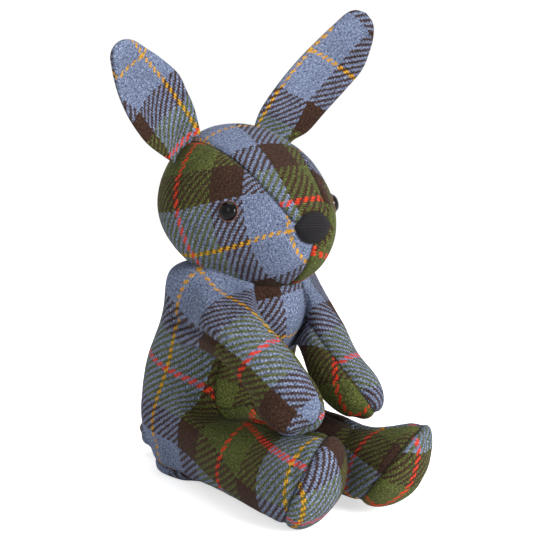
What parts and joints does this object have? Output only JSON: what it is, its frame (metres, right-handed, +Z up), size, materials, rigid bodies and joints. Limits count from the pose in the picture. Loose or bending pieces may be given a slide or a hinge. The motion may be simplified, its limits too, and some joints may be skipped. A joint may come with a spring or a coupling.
{
  "type": "door stop",
  "caption": "Sitting rabbit door stop of tartan woollen cloth: stuffed head, body, arms and legs over a sand bag, with upright ears, bead eyes and a round tail.",
  "frame": {"origin": "middle of the bounding box at the floor", "axes": "+Z up, the rabbit faces -Y, its left side is +X"},
  "size_m": [0.2004, 0.2424, 0.3256],
  "materials": {
    "tartan_side": "woollen twill, brushed",
    "tartan_front": "woollen twill, brushed",
    "tartan_base": "woollen twill, brushed",
    "tartan_head": "woollen twill, brushed",
    "tartan_ear": "woollen twill, brushed",
    "nose_cloth": "fine ribbed cloth, matt",
    "eye_plastic": "gloss",
    "washer_plastic": "matt",
    "stuffing": "polyester fibre",
    "sand_bag": "plain woven bag filled with sand"
  },
  "bodies": {
    "root": {"body_side_right": "tartan_side", "body_side_left": "tartan_side", "body_front": "tartan_front", "body_base": "tartan_base", "foot_sole_right": "tartan_side", "foot_sole_left": "tartan_side", "weight_bag": "sand_bag", "body_stuffing": "stuffing", "eye_left": "eye_plastic", "eye_washer_left": "washer_plastic", "eye_right": "eye_plastic", "eye_washer_right": "washer_plastic", "head_side_left": "tartan_head", "head_side_right": "tartan_head", "head_gusset": "tartan_head", "nose": "nose_cloth", "head_stuffing": "stuffing", "ear_left_front": "tartan_ear", "ear_left_back": "tartan_ear", "ear_right_front": "tartan_ear", "ear_right_back": "tartan_ear", "tail": "tartan_side"}
  },
  "joints": []
}
